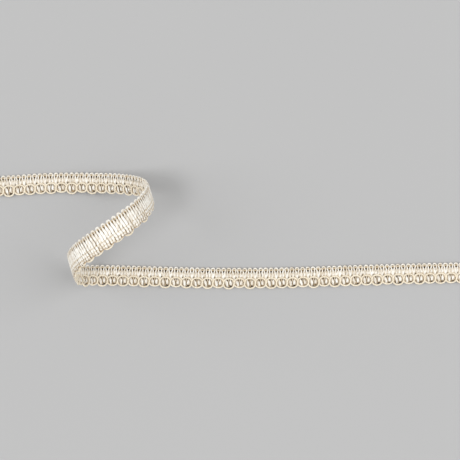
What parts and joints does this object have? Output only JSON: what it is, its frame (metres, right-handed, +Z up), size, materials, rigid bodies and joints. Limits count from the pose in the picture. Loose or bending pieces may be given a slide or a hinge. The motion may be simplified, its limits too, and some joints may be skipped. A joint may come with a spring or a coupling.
{
  "type": "gimp braid trim",
  "caption": "Narrow ivory gimp braid with a picot edge and a corded ring chain, lying on a surface with one open curl over itself.",
  "frame": {"origin": "middle of the bounding box in plan, on the surface that the braid lies on", "axes": "+X along the run of the braid from its left cut end to its right one, +Y towards the picot edge, +Z up"},
  "size_m": [0.2442, 0.0552, 0.0521],
  "materials": {
    "ivory_yarn": "satin-bright ivory rayon yarns with slightly creamier cords"
  },
  "bodies": {
    "root": {"braid_trim": "ivory_yarn"}
  },
  "joints": []
}
